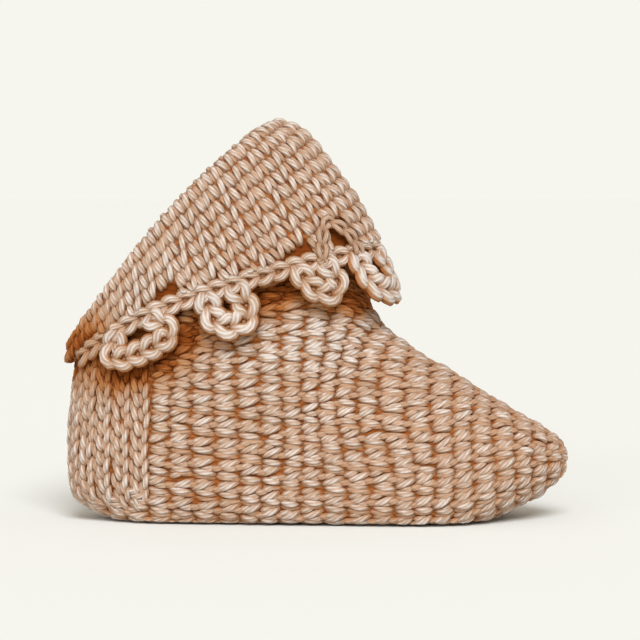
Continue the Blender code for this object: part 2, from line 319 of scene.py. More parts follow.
LINK_TONE = -1.3
LINK_BULK_TONE = -1.8
LINK_SHADED = 0.25
LINK_STEEP = 2.3
LINK_CORDS = 2

# The strand behind them, whose low tone on the colour ramp is painted shade
BEHIND_LOW = -1.3
BEHIND_ACROSS = 1.9
BEHIND_THROUGH = 1.3
BEHIND_TONE = -2.4

# The walls behind the stitches: points along and round, how many sections short of the tip the foot's
# outer sheet and its lining close, how far each lies under the face, how far the backs of the stitches
# stand in the lining, tones on the colour ramp, and the share of their size that the yarn's pattern reads.
# The tones sit lower than the strands' tops, so that the walls show as painted shade in the gaps, and the
# lining's hollows are painted darker than its bumps
FOOT_WALL_RINGS = 150
FOOT_WALL_COLUMNS = 160
FOOT_WALL_TIP = 1.4
FOOT_WALL_SINK = 1.2
FOOT_WALL_TONE = -4.0
LINING_TIP = 2.2
LINING_SINK = 4.2
LINING_BUMP = 0.7
LINING_UNEVEN = 0.4
LINING_TONE = -2.6
LINING_BUMP_TONE = 2.2
CUFF_WALL_ROWS = 60
CUFF_WALL_COLUMNS = 200
CUFF_WALL_SINK = 1.0
CUFF_WALL_TONE = -3.6
CUFF_UNDER_TONE = -1.6
WALL_PATTERN = 0.1

# Colour: the ramp's stops, which paint shade at the low end and a highlight at the high end, its ends
# as heights over the face, how far down it painted shade puts wool that the hem and the loops shelter
# and how far that reaches, and how far down it the cuff is
YARN_STOPS = (
    (0.0, "#763B14"), (0.2, "#8A4A1E"), (0.37, "#9F6335"), (0.53, "#A7764E"), (0.68, "#AC876C"),
    (0.84, "#B39883"), (1.0, "#D0C8C2"),
)
RAMP_LOW = -6.0
RAMP_HIGH = 1.8
SHELTER_SHADE = 7.0
SHELTER_REACH = 13.0
LOOP_SHADE = 4.0
LOOP_REACH = 16.0
CUFF_SHADE = -0.1

# The yarn's plies: how many, the length of one turn and how far down the ramp painted shade puts their
# grooves. Then how far up or down it the dye is uneven, over clouds of CLOUD_SIZE, the fuzz's size, and how
# much darker or paler whole strands are, at TINT_REACH spreads from the mean
PLIES = 4
PLY_PITCH = 6.0
PLY_SHADE = 0.6
UNEVEN = 0.6
CLOUD_SIZE = 2.2
FUZZ_SIZE = 0.7
TINT_REACH = 2.0
TINT_DARK = 0.9
TINT_PALE = 1.04

# Painted shade where wool lies deepest in shade, on the side view: along, up, half size along and
# across, slope, and how far down the ramp it is. The last row goes up the ramp: a painted patch of light
# on the ankle
SHADES = (
    (-108.0, 82.0, 14.0, 9.0, 30.0, 5.5),
    (-84.0, 70.0, 19.0, 8.0, 12.0, 5.2),
    (-62.0, 84.0, 11.0, 7.0, 25.0, 4.5),
    (-22.0, 104.0, 18.0, 7.5, 18.0, 5.5),
    (15.0, 102.0, 11.0, 7.0, 0.0, 5.5),
    (-8.0, 84.0, 40.0, 14.0, 12.0, -0.7),
)

# Stage: the floor's size in metres, and its paper's grain
FLOOR_SIZE = 40.0
PAPER_GRAIN = 1.5


def unit(vectors):
    return vectors / (np.linalg.norm(vectors, axis=-1, keepdims=True) + 1e-12)


def smooth(t):
    """Rises from 0 to 1 as t does, level at both ends: three t squared less two t cubed."""
    t = np.clip(t, 0.0, 1.0)
    return t * t * (3 - 2 * t)


def running_length(points):
    """The length run along each line of points, from 0 at its first point."""
    steps = np.linalg.norm(np.diff(points, axis=-2), axis=-1)
    return np.concatenate([np.zeros(steps.shape[:-1] + (1,)), np.cumsum(steps, axis=-1)], axis=-1)


def lookup(table, row, column):
    """Reads a table at fractional rows and columns: its four nearest entries, weighted by nearness."""
    row, column = np.broadcast_arrays(row, column)
    row = np.clip(row, 0.0, table.shape[0] - 1.001)
    column = np.clip(column, 0.0, table.shape[1] - 1.001)
    i, j = row.astype(int), column.astype(int)
    spread = (...,) + (None,) * (table.ndim - 2)
    s, t = (row - i)[spread], (column - j)[spread]
    near = table[i, j] * (1 - t) + table[i, j + 1] * t
    far = table[i + 1, j] * (1 - t) + table[i + 1, j + 1] * t
    return near * (1 - s) + far * s


# The surfaces of the part's source


def section_at(u):
    """The section columns at u, from 0 at the rim to LAST_SECTION at the toe: a smooth cubic
    through the table, whose slope at each row is half the step between its two neighbours."""
    ends = np.vstack([
        2 * SECTION_SIZES[0] - SECTION_SIZES[1], SECTION_SIZES, 2 * SECTION_SIZES[-1] - SECTION_SIZES[-2],
    ])
    row = np.clip(np.floor(u).astype(int), 0, LAST_SECTION - 1)
    t = (u - row)[..., None]
    before, start, end, after = (ends[row + k] for k in range(4))
    cubic = (
        2 * start
        + (end - before) * t
        + (2 * before - 5 * start + 4 * end - after) * t**2
        + (3 * start - before - 3 * end + after) * t**3
    ) / 2
    return dict(zip(SECTION_COLUMNS, np.moveaxis(cubic, -1, 0)))


def settle(z):
    """Presses what hangs below the floor flat on it, with a rounded turn up into the sides."""
    rounded = (z + FLOOR_ROUNDING) ** 2 / (4 * FLOOR_ROUNDING)
    return np.where(z > FLOOR_ROUNDING, z, np.where(z < -FLOOR_ROUNDING, 0.0, rounded))


def foot_point(u, angle):
    """A point of the foot's outer face: section u, at an angle that is 0 at the sole end or heel,
    a right angle at the widest place and pi at the crown."""
    u, angle = np.broadcast_arrays(np.asarray(u, float), np.asarray(angle, float))
    s = section_at(u)
    cosine, sine = np.cos(angle), np.sin(angle)
    to_sole = cosine > 0
    power = np.where(to_sole, s["sole_power"], s["crown_power"])
    reach = np.where(to_sole, s["widest"], 1 - s["widest"])
    share = s["widest"] - np.sign(cosine) * reach * np.abs(cosine) ** (2 / power)
    along = s["sole_along"] + share * (s["crown_along"] - s["sole_along"])
    up = s["sole_up"] + share * (s["crown_up"] - s["sole_up"])
    length = np.hypot(s["crown_along"] - s["sole_along"], s["crown_up"] - s["sole_up"]) + 1e-9
    bowed = 4 * share * (1 - share) * s["bow"] / length
    along = along - bowed * (s["crown_up"] - s["sole_up"])
    up = up + bowed * (s["crown_along"] - s["sole_along"])
    out = s["width"] * np.sign(sine) * np.abs(sine) ** (2 / power)
    return np.stack([along - MIDDLE, out, settle(up)], axis=-1)


def foot_frame(u, angle):
    """The foot's point there, its outward normal, and the way up along the wall to the rim."""
    step = 0.02
    low = np.clip(np.asarray(u, float) - step, 0.0, LAST_SECTION - 2 * step)
    up_wall = foot_point(low, angle) - foot_point(low + 2 * step, angle)
    round_wall = foot_point(u, angle + step) - foot_point(u, angle - step)
    normal = unit(np.cross(up_wall, round_wall))
    return foot_point(u, angle), normal, unit(up_wall)


# Depth down the wall: a table of the length from the rim to section u, at angles all round
DEPTH_ANGLES = np.linspace(-np.pi, 3 * np.pi, 721)
DEPTH_SECTIONS = np.linspace(0.0, LAST_SECTION - 1.0, 400)
DEPTH_TABLE = running_length(foot_point(DEPTH_SECTIONS[None, :], DEPTH_ANGLES[:, None]))
DEPTHS = np.arange(0.0, 160.0, 0.5)
SECTION_TABLE = np.array([np.interp(DEPTHS, lengths, DEPTH_SECTIONS) for lengths in DEPTH_TABLE])


def angle_row(angle):
    return (angle - DEPTH_ANGLES[0]) / (DEPTH_ANGLES[1] - DEPTH_ANGLES[0])


def depth_below_rim(u, angle):
    return lookup(DEPTH_TABLE, angle_row(angle), u / (DEPTH_SECTIONS[1] - DEPTH_SECTIONS[0]))


def below_rim(angle, depth):
    """The point and outward normal at these depths below the rim, measured down the wall."""
    u = lookup(SECTION_TABLE, angle_row(angle), depth / (DEPTHS[1] - DEPTHS[0]))
    point, normal, _ = foot_frame(u, angle)
    return point, normal


def to_front(angle):
    """0 at the middle of the heel, 1 at the middle of the front, along the rim's line."""
    point = foot_point(np.zeros_like(angle), angle)
    back = foot_point(np.zeros(1), np.zeros(1))
    front = foot_point(np.zeros(1), np.full(1, np.pi))
    return np.clip((point[..., 0] - back[..., 0]) / (front[..., 0] - back[..., 0]), 0.0, 1.0)


def cuff_depth(angle):
    """How far down the wall the flap reaches: shallow at the heel, deep in front."""
    return CUFF_BACK_DEPTH + (CUFF_FRONT_DEPTH - CUFF_BACK_DEPTH) * to_front(angle) ** CUFF_DEPTH_POWER


def roll_gap(angle):
    """The room between the foot and the flap just under the roll."""
    return ROLL_GAP_BACK + (ROLL_GAP_FRONT - ROLL_GAP_BACK) * to_front(angle)


def cuff_lift(angle, share):
    """How far the flap's middle face stands off the foot, at this share of its depth."""
    flare = SIDE_FLARE + (FRONT_FLARE - SIDE_FLARE) * to_front(angle) ** FRONT_FLARE_POWER
    return roll_gap(angle) + CUFF_WALL / 2 + flare * np.sqrt(share) * to_front(angle) ** SIDE_FLARE_POWER


def cuff_outline(angle):
    """The roll's middle and outer radius, and the length over the cuff's outer face from the top of
    the roll to where the flap starts and to the hem."""
    inside = -WALL / 2
    outside = roll_gap(angle) + CUFF_WALL / 2
    middle, radius = (inside + outside) / 2, (outside - inside) / 2 + CUFF_WALL / 2
    flap_start = radius * np.pi / 2
    return middle, radius, flap_start, flap_start + ROLL_BASE + cuff_depth(angle)


def cuff_point(angle, over, lift=0.0):
    """A point off the cuff's outer face. over is the length from the top of the roll, outwards and
    down the flap; less than 0 goes down the inner leg. lift is off the face, along its normal."""
    angle, over, lift = np.broadcast_arrays(angle, over, np.asarray(lift, float))
    middle, radius, flap_start, _ = cuff_outline(angle)
    rim, rim_normal, up_wall = foot_frame(np.zeros_like(angle), angle)
    turn = np.clip(over, -flap_start, flap_start) / radius
    rise = ROLL_BASE + (radius + lift) * np.cos(turn)
    rise = rise + np.minimum(over + flap_start, 0.0) - np.clip(over - flap_start, 0.0, ROLL_BASE)
    out = middle + (radius + lift) * np.sin(turn)
    roll = rim + rise[..., None] * up_wall + out[..., None] * rim_normal
    depth = np.maximum(over - flap_start - ROLL_BASE, 0.0)
    wall, normal = below_rim(angle, depth)
    flap_lift = cuff_lift(angle, np.clip(depth / cuff_depth(angle), 0.0, 1.0)) + CUFF_WALL / 2 + lift
    flap = wall + flap_lift[..., None] * normal
    return np.where((depth > 0)[..., None], flap, roll)


# Edging lines


def edge_lengths():
    """Angles round the cuff's edge, from the heel and back to it, with the length run so far."""
    angles = np.linspace(0.0, 2 * np.pi, 721)
    point, normal = below_rim(angles, cuff_depth(angles))
    return angles, running_length(point + cuff_lift(angles, 1.0)[:, None] * normal)


def edging_line(angle, drop, lift):
    """Points and normals of the edging: drop is how far it hangs below the header's own line."""
    point, normal = below_rim(angle, cuff_depth(angle) + EDGE_GAP + HEADER_RADIUS + drop)
    return point + lift[:, None] * normal, normal


def each_loop():
    """Every loop with its side, from the table."""
    return [(dict(zip(LOOP_COLUMNS, row)), side) for row in LOOPS for side in ("right", "left")]


def loop_line(edge, loop, side):
    """A loop's axis: half an ellipse that bulges between its two ends in the header. One that is
    turned up first curls out under the cuff's edge, then lies against the cuff."""
    turn = np.linspace(0.0, np.pi, LOOP_POINTS)
    hang = np.sin(turn) ** LOOP_FULLNESS
    total = edge[1][-1]
    along = loop["place"] * total / 2 + loop["sway"] * hang
    along = along - loop["span"] / 2 * np.cos(turn) * (1 + loop["bulge"] * np.sin(turn))
    if side == "left":
        along = total - along
    angle = np.interp(along, edge[1], edge[0])
    start_lift = cuff_lift(angle, 1.0)
    if loop["drop"] > 0:
        fall = ROOT_DROP + loop["drop"] * hang
        end_lift = loop["stand_off"]
    else:
        fall = ROOT_DROP + loop["drop"] * np.sin(turn) ** TURNED_UP_POWER
        fall = fall + CURL_UNDER * np.abs(np.sin(2 * turn))
        share = np.clip(1 + fall / cuff_depth(angle), 0.0, 1.0)
        end_lift = cuff_lift(angle, share) + CUFF_WALL / 2 + LOOP_RADIUS + loop["stand_off"]
        hang = np.sin(turn) ** TURNED_UP_LIFT_POWER
    return edging_line(angle, fall, start_lift + (end_lift - start_lift) * hang)


# Charts


class Chart:
    """A face laid out flat. Points stand on a grid of evenly spaced rows and places; the normal is
    the cross product of the grid's two ways, turned outwards by the sign given, and averaged with
    those of a few rows either side (even)."""

    def __init__(self, points, rows, places, outward, even=0):
        self.points, self.rows, self.places, self.outward, self.even = points, rows, places, outward, even
        by_row, by_place = np.gradient(points, axis=(0, 1))
        normals = outward * unit(np.cross(by_row, by_place))
        normals = np.pad(normals, ((even, even), (0, 0), (0, 0)), mode="edge")
        self.normals = unit(sum(normals[k : k + len(rows)] for k in range(2 * even + 1)))

    def lift(self, heights):
        """The same face raised along its normals."""
        points = self.points + heights[..., None] * self.normals
        return Chart(points, self.rows, self.places, self.outward, self.even)

    def read(self, table, row, place):
        i = (row - self.rows[0]) / (self.rows[1] - self.rows[0])
        j = (place - self.places[0]) / (self.places[1] - self.places[0])
        return lookup(table, i, j)

    def at(self, row, place):
        return self.read(self.points, row, place), unit(self.read(self.normals, row, place))


def soft_relief(point, table):
    """Ridges and troughs placed on the side view, both sides alike: each row of the table is a
    place (along, up), a half size along its own way and across it, that way's slope in degrees, and a
    height. It is the height times e to the minus square of the distance, in half sizes."""
    total = np.zeros(point.shape[:-1])
    for along, up, half_along, half_across, slope, height in table:
        dx, dz = point[..., 0] - along, point[..., 2] - up
        cosine, sine = np.cos(np.radians(slope)), np.sin(np.radians(slope))
        far = ((dx * cosine + dz * sine) / half_along) ** 2 + ((dz * cosine - dx * sine) / half_across) ** 2
        total = total + height * np.exp(-far)
    return total


def even_lines(lines, start, places):
    """Each line of values, measured off anew in even places along its first three columns' length.
    start is the column of points where that length is 0."""
    lengths = running_length(lines[..., :3])
    lengths = lengths - lengths[:, start : start + 1]
    return np.stack([
        np.stack([np.interp(places, length, column) for column in line.T], axis=-1)
        for length, line in zip(lengths, lines)
    ])


def wall_chart(rows, places, u, angle, start):
    """The chart of a part of the foot's face, from lines of points at sections u and angles, whose place
    is 0 at the column start. Gives the lines themselves too, and the values read from them, which are
    points, u and angle, before the soft relief is added to the chart."""
    lines = np.concatenate([foot_point(u, angle), u[..., None], angle[..., None]], axis=-1)
    values = even_lines(lines, start, places)
    chart = Chart(values[..., :3], rows, places, 1.0)
    chart = chart.lift(soft_relief(chart.points, FOOT_RELIEF))
    chart.u, chart.angle = values[..., 3], values[..., 4]
    return chart, lines, values


def foot_chart():
    """The foot in rows from the toe, with places in millimetres from the middle of the sole up over
    one side and past the crown. On the sole and the sides a row stands at one distance from the
    heel. Over the crown it leans forward, so that rows keep their spacing up the ankle too."""
    rows = np.arange(0.05, 28.0, 0.2)
    places = np.arange(-40.0, 260.0, 1.0)
    steps, past, run_on = 400, 160, 60.0
    side = np.linspace(0.0, np.pi, steps + 1)
    sections = np.linspace(0.0, LAST_SECTION, 801)
    flank = foot_point(sections, np.full_like(sections, np.pi / 2))[::-1]
    flank = flank[flank[:, 0] + MIDDLE > EVEN_FROM]
    lengths, reach = running_length(flank), flank[:, 0] + MIDDLE
    lengths, reach = np.append(lengths, lengths[-1] + reach[-1] + run_on), np.append(reach, -run_on)
    to_heel = np.interp(-HEEL_PANEL, -reach, lengths)
    row_length = to_heel / np.round(to_heel / FOOT_ROW)
    along = np.maximum.accumulate(foot_point(sections[:, None], side[None, :])[..., 0], axis=0)
    wanted = np.interp(rows * row_length, lengths, reach) - MIDDLE
    upright = np.stack([np.interp(wanted, along[:, k], sections) for k in range(steps + 1)], axis=1)
    crown = foot_point(sections, np.full_like(sections, np.pi))[::-1]
    climb = running_length(crown)
    climb = np.maximum(climb - np.interp(MIDDLE - EVEN_ROWS_UP_TO, -crown[:, 0], climb), 0.0)
    level = np.maximum(crown[:, 0] + MIDDLE, EVEN_ROWS_UP_TO)
    crown_rows = (np.interp(-level, -reach, lengths) + climb) / row_length
    leaning = np.interp(rows, crown_rows, sections[::-1])
    lean = smooth((side / np.pi - LEAN_FROM) / (1 - LEAN_FROM))
    u = upright * (1 - lean) + leaning[:, None] * lean
    beyond = np.arange(-past, steps + past + 1)
    mirrored = steps - np.abs(steps - np.abs(beyond))
    angle = np.broadcast_to(beyond * np.pi / steps, (len(rows), len(beyond)))
    chart, lines, _ = wall_chart(rows, places, u[:, mirrored], angle, past)
    chart.girth = running_length(lines[:, past : past + steps + 1, :3])[:, -1]
    return chart


def heel_chart():
    """The heel in level rows, by height, with places from the middle of the back round one side."""
    rows = np.arange(1.0, 84.0, 1.5)
    back = 20
    places = np.arange(-back, 90.0)
    sections = np.linspace(0.0, 12.0, 481)
    steps, past = 240, 80
    side = np.linspace(0.0, 0.62 * np.pi, steps + 1)
    height = np.minimum.accumulate(foot_point(sections[:, None], side[None, :])[..., 2], axis=0)
    u = np.stack([np.interp(rows, height[::-1, k], sections[::-1]) for k in range(steps + 1)], axis=1)
    beyond = np.arange(-past, steps + 1)
    angle = np.broadcast_to(beyond * side[1], (len(rows), len(beyond)))
    chart, _, values = wall_chart(rows, places, u[:, np.abs(beyond)], angle, past)
    chart.width = np.array([
        np.interp(HEEL_PANEL - MIDDLE, np.maximum.accumulate(line[back:, 0]), places[back:])
        for line in values
    ])
    return chart


def in_eyes(point, grow):
    """How far inside an opening of the cuff's crochet a point is: 1 at its middle, 0 beyond its edge,
    by a smooth step on the distance in half sizes, which are multiplied by grow."""
    deepest = np.zeros(point.shape[:-1])
    for along, up, half_along, half_across, slope in EYES:
        shape = soft_relief(point, ((along, up, grow * half_along, grow * half_across, slope, 1.0),))
        deepest = np.maximum(deepest, smooth((shape - EYE_EDGE) / EYE_SOFT))
    return deepest


def cuff_relief(angle, over):
    """How much fuller than the solid the soft fold is: on its top as FOLD_FULL gives from the heel to
    the front, fading out down the flap, and FRONT_FULL just under the peak, which makes it blunt."""
    share = to_front(angle)
    fold = np.interp(share, *FOLD_FULL) * (1 - smooth((np.abs(over) - FOLD_TOP) / FOLD_FADE))
    under_peak = np.exp(-(((over - FRONT_DOWN) / FRONT_HALF) ** 2))
    return fold + FRONT_FULL * smooth((share - FRONT_FROM) / (1 - FRONT_FROM)) * under_peak


def cuff_chart():
    """The cuff's outer face, in rows by the length over it from the top of the roll, with places by
    the length round the middle of the flap from the middle of the heel."""
    angles = np.linspace(-0.5, 2 * np.pi + 0.5, 801)
    rows = np.arange(CUFF_START - 1.0, 90.0, 0.5)
    around = running_length(cuff_point(angles, np.full_like(angles, FLAP_MIDDLE)))
    around = around - np.interp(0.0, angles, around)
    places = np.linspace(around[0], around[-1], 801)
    angle = np.interp(places, around, angles)
    points = cuff_point(angle[None, :], rows[:, None])
    chart = Chart(points, rows, places, -1.0, even=8)
    chart = chart.lift(cuff_relief(angle[None, :], rows[:, None]))
    chart.round = np.interp(2 * np.pi, angles, around)
    chart.hem = cuff_outline(angle)[3]
    return chart


# Strands


def add_mesh(name, points, faces, uv, crest, tint, material):
    """A joined mesh at the origin from arrays in millimetres: faces are arrays of corners, a row
    for each face. uv has a pair for each corner, crest and tint a number for each point."""
    mesh = bpy.data.meshes.new(name)
    corners = np.concatenate([block.ravel() for block in faces])
    totals = np.concatenate([np.full(len(block), block.shape[1]) for block in faces])
    mesh.vertices.add(len(points))
    mesh.vertices.foreach_set("co", (points * MM).astype(np.float32).ravel())
    mesh.loops.add(len(corners))
    mesh.loops.foreach_set("vertex_index", corners.astype(np.int32))
    mesh.polygons.add(len(totals))
    mesh.polygons.foreach_set("loop_start", (np.cumsum(totals) - totals).astype(np.int32))
    mesh.update(calc_edges=True)
    mesh.uv_layers.new(name="yarn").data.foreach_set("uv", uv.astype(np.float32).ravel())
    for label, values in (("crest", crest), ("tint", tint)):
        mesh.attributes.new(label, "FLOAT", "POINT").data.foreach_set("value", values.astype(np.float32))
    mesh.shade_smooth()
    mesh.materials.append(material)
    thing = bpy.data.objects.new(name, mesh)
    bpy.context.scene.collection.objects.link(thing)
    return thing


class Strands:
    """Gathers strands of yarn of one piece: lines of points with the face's normals, half thicknesses
    across and through, how high each point is on the colour ramp, a shade for each strand, how steeply
    the colour falls off round it from a painted highlight on top to painted shade beneath, and how many
    cords of yarn are laid together in it."""

    def __init__(self):
        self.parts = []

    def add(self, lines, normals, across, through, height, tint, steep=1.0, cords=1):
        shape = lines.shape[:2]
        self.parts.append((
            lines, normals, np.broadcast_to(across, shape), np.broadcast_to(through, shape),
            np.broadcast_to(height, shape), np.broadcast_to(tint[:, None], shape), steep, cords,
        ))

    def make(self, name, material):
        """A tube round each line: at every point an ellipse square to the line, its short way along
        the normal. Ends are closed with one face. What would reach below the floor is pressed up flat:
        its height over FLOOR_PRESS below the floor is cut to PRESSED_SHARE of it."""
        blocks = [self.tubes(*part) for part in self.parts]
        offset = 0
        gathered = [[] for _ in range(6)]
        for points, quads, caps, quad_uv, crest, tint in blocks:
            for store, values in zip(gathered, (points, quads + offset, caps + offset, quad_uv, crest, tint)):
                store.append(values)
            offset += len(points)
        points, quads, caps, quad_uv, crest, tint = (np.concatenate(store) for store in gathered)
        pressed = FLOOR_CLEAR + PRESSED_SHARE * np.maximum(points[:, 2] + FLOOR_PRESS, 0.0)
        points[:, 2] = np.maximum(points[:, 2], pressed)
        uv = np.concatenate([quad_uv.reshape(-1, 2), np.zeros((caps.size, 2))])
        return add_mesh(name, points, [quads, caps], uv, crest, tint, material)

    @staticmethod
    def tubes(lines, normals, across, through, height, tint, steep, cords):
        count, rings = lines.shape[:2]
        sides = STRAND_SIDES
        tangent = unit(np.gradient(lines, axis=1))
        lateral = unit(np.cross(normals, tangent))
        upward = np.cross(tangent, lateral)
        turn = np.arange(sides) * 2 * np.pi / sides
        cosine, sine = np.cos(turn), np.sin(turn)
        points = (
            lines[:, :, None]
            + (across[..., None] * cosine)[..., None] * lateral[:, :, None]
            + (through[..., None] * sine)[..., None] * upward[:, :, None]
        )
        # Painted highlight and painted shade: paler on a strand's outer side, darker on the side towards the
        # face
        crest = height[..., None] + steep * through[..., None] * sine
        index = np.arange(count * rings * sides).reshape(count, rings, sides)
        ahead = np.roll(index, -1, axis=2)
        quads = np.stack([index[:, :-1], ahead[:, :-1], ahead[:, 1:], index[:, 1:]], axis=-1)
        caps = np.concatenate([index[:, 0, ::-1], index[:, -1]])
        run = running_length(lines)[:, :, None]
        v = np.broadcast_to(cords * np.arange(sides) / sides, (count, rings - 1, sides))
        low, high = np.broadcast_to(run[:, :-1], v.shape), np.broadcast_to(run[:, 1:], v.shape)
        uv = np.stack([
            np.stack([low, v], -1), np.stack([low, v + cords / sides], -1),
            np.stack([high, v + cords / sides], -1), np.stack([high, v], -1),
        ], axis=-2)
        return (
            points.reshape(-1, 3), quads.reshape(-1, 4), caps, uv.reshape(-1, 4, 2), crest.ravel(),
            np.broadcast_to(tint[..., None], crest.shape).ravel(),
        )


def add_stitches(strands, arms, where, keep, mirror, shade):
    """The strands of each kept stitch. where(share_of_row, share_of_stitch) gives the points and normals
    of all stitches, for a share along the row's depth and across the stitch's width. A strand's middle
    rises from its sunk ends, and swells, by a power of the sine of half a turn. shade, which is painted
    shade on the foot and heel and the cuff's own tone on the cuff, and the painted shade of SHADES at
    each point, lower a stitch's colour on the ramp."""
    t = np.linspace(0.0, 1.0, STRAND_RINGS)
    swell = np.sin(np.pi * t) ** YARN_SWELL
    thick = YARN_END + (1 - YARN_END) * swell
    for arm in arms:
        shape = dict(zip(ARM_COLUMNS, arm))
        wobble = random.normal(0.0, 1.0, (4, *keep.shape, 1))
        down = shape["start_row"] + (shape["end_row"] - shape["start_row"]) * t
        slide = shape["start_place"] + (shape["end_place"] - shape["start_place"]) * t
        points, normals = where(down + ROW_WOBBLE * wobble[0], slide + PLACE_WOBBLE * wobble[1])
        points, normals = points[keep], normals[keep]
        if mirror:
            points, normals = points * [1, -1, 1], normals * [1, -1, 1]
        height = YARN_SUNK + YARN_ARCH * swell - shape["sink"] + HEIGHT_WOBBLE * wobble[2][keep]
        # Painted shade: a strand's ends, its arm's own painted shade, the shade passed in and SHADES lower
        # its colour on the ramp
        crest = height - shape["deep"] - END_SHADE * (1 - swell) - shade[keep][:, None]
        crest = crest - soft_relief(points, SHADES)
        strands.add(
            points + height[..., None] * normals, normals, YARN_ACROSS * thick, YARN_THROUGH * thick, crest,
            wobble[3][keep][:, 0],
        )


def under_cuff(chart, row, place):
    """How far above the cuff's hem a place on the foot or heel is, down the wall."""
    u, angle = chart.read(chart.u, row, place), chart.read(chart.angle, row, place)
    return cuff_depth(angle) - depth_below_rim(u, angle)


def painted_shelter_shade(point, above_hem):
    """Painted shade: how far down the colour ramp the wool is put where the cuff and its loops shade it:
    most behind the edging, fading out over SHELTER_REACH below the hem, and near a loop's axis, out to
    LOOP_REACH."""
    edge = edge_lengths()
    lines = np.concatenate([loop_line(edge, loop, side)[0] for loop, side in each_loop()])
    near = np.linalg.norm(point[..., None, :] - lines, axis=-1).min(axis=-1)
    by_hem = SHELTER_SHADE * smooth(1 + above_hem / SHELTER_REACH) ** 2
    return by_hem + LOOP_SHADE * smooth(1 - near / LOOP_REACH)


def heel_bottom(x):
    """The height at which the heel's upright stitches end: low at the very back, higher to the sides."""
    to_side = smooth((x + MIDDLE - HEEL_END_FROM) / HEEL_END_OVER)
    return HEEL_BACK_END + (HEEL_SIDE_END - HEEL_BACK_END) * to_side


def make_foot_stitches(chart, material):
    """Stitches in rows round the foot, as many to a row as its girth holds. Rows waver to and fro by a
    sine of the place along them. The far half is the near one, mirrored and laid anew."""
    rows = np.arange(0.0, FOOT_ROWS)[:, None]
    girth = np.interp(rows + 0.5, chart.rows, chart.girth)
    count = np.maximum(np.round(girth / FOOT_STITCH), 2)
    stitch = girth / count
    number = np.arange(0.0, MOST_STITCHES)[None, :]
    middle = (number + 0.5) * stitch
    centre, _ = chart.at(rows + 0.5, middle)
    in_heel = centre[..., 0] + MIDDLE < HEEL_PANEL
    above_hem = under_cuff(chart, rows + 0.5, middle)
    keep = (number < count) & (above_hem < FOOT_UNDER_CUFF)
    keep &= ~in_heel | (centre[..., 2] < heel_bottom(centre[..., 0]) + PANEL_OVERLAP)
    tapering = smooth((TAPER_TO - rows) / TAPER_FADE)

    def where(down, slide):
        row = rows[..., None] + down
        drawn_in = TOE_FIRST + (TOE_ROW - TOE_FIRST) * (row + TOE_BEFORE) / (TOE_ROW + TOE_BEFORE)
        row = np.where(row < TOE_ROW, drawn_in, row)
        local = np.interp(row, chart.rows, chart.girth)
        scale = 1 + tapering[..., None] * (local / girth[..., None] - 1)
        place = (middle[..., None] + slide * stitch[..., None]) * scale
        waver = WAVER * smooth((row - 1) / WAVER_FADE) * np.sin(place / WAVER_LENGTH + WAVER_STEP * row)
        return chart.at(row + waver, place)

    shade = painted_shelter_shade(centre, above_hem)
    pieces = []
    for side in ("right", "left"):
        strands = Strands()
        add_stitches(strands, FOOT_ARMS, where, keep, side == "left", shade)
        pieces.append(strands.make("foot_stitches_" + side, material))
    return pieces


def make_heel_stitches(chart, material):
    """Upright stitches round the back of the heel, in columns that meet the foot's rows at the sides."""
    rows = np.arange(0.0, HEEL_ROWS)[:, None]
    number = np.arange(0.0, HEEL_STITCHES)[None, :]
    top = HEEL_FIRST + HEEL_ROW * (rows + 1)
    stitch = np.interp(top - HEEL_ROW / 2, chart.rows, chart.width) / HEEL_STITCHES
    middle = (number + 0.5) * stitch
    centre, _ = chart.at(top - HEEL_ROW / 2, middle)
    above_hem = under_cuff(chart, top - HEEL_ROW / 2, middle)
    keep = above_hem < HEEL_UNDER_CUFF
    keep &= centre[..., 2] > heel_bottom(centre[..., 0]) - PANEL_OVERLAP

    def where(down, slide):
        height = top[..., None] - HEEL_ROW * down
        local = np.interp(height, chart.rows, chart.width) / HEEL_STITCHES
        return chart.at(height, (number[..., None] + 0.5 - slide) * local)

    shade = painted_shelter_shade(centre, above_hem)
    strands = Strands()
    for mirror in (False, True):
        add_stitches(strands, HEEL_ARMS, where, keep, mirror, shade)
    return strands.make("heel_stitches", material)


def make_cuff_stitches(chart, material):
    """Stitches in rows along the fold, from the inner leg over the roll and down to the hem, which
    cuts across them. None fill the turned-up loop's eye, nor the slits over the edging."""
    strands = Strands()
    stitch = chart.round / CUFF_STITCHES
    rows = np.arange(0.0, CUFF_ROWS)[:, None]
    number = np.arange(0.0, CUFF_STITCHES)[None, :]
    over, middle = CUFF_START + CUFF_ROW * (rows + 0.5), (number + 0.5) * stitch
    centre, _ = chart.at(over, middle)
    keep = (over < np.interp(middle, chart.places, chart.hem)) & (in_eyes(centre, 1.0) < EYE_KEEP)

    def where(down, slide):
        place = (number[..., None] + 0.5 + slide) * stitch
        lowest = np.interp(place, chart.places, chart.hem) - HEM_CLEAR
        return chart.at(np.minimum(CUFF_START + CUFF_ROW * (rows[..., None] + down), lowest), place)

    add_stitches(strands, CUFF_ARMS, where, keep, False, np.full(keep.shape, CUFF_SHADE))
    return strands.make("cuff_stitches", material)


